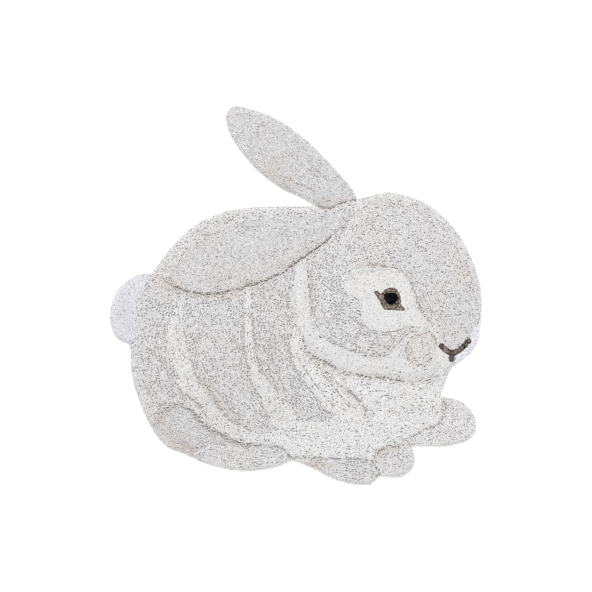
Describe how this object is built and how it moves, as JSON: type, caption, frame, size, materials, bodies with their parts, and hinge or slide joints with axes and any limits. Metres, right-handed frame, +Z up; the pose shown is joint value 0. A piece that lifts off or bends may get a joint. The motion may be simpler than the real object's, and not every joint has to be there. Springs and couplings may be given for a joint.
{
  "type": "rabbit shaped rug",
  "caption": "Tufted cotton rug cut to the outline of a crouching rabbit, flat underneath, with carved grooves between high and low pile.",
  "frame": {"origin": "middle of the rug's outline box, on the flat underside", "axes": "+Z up out of the pile, +X towards the rabbit's nose, +Y towards the tip of its raised ear"},
  "size_m": [1.0508, 1.0703, 0.0201],
  "materials": {
    "cotton_pile": "matt cut pile of undyed and grey cotton, on a woven cotton backing"
  },
  "bodies": {
    "root": {"rabbit_rug": "cotton_pile"}
  },
  "joints": []
}
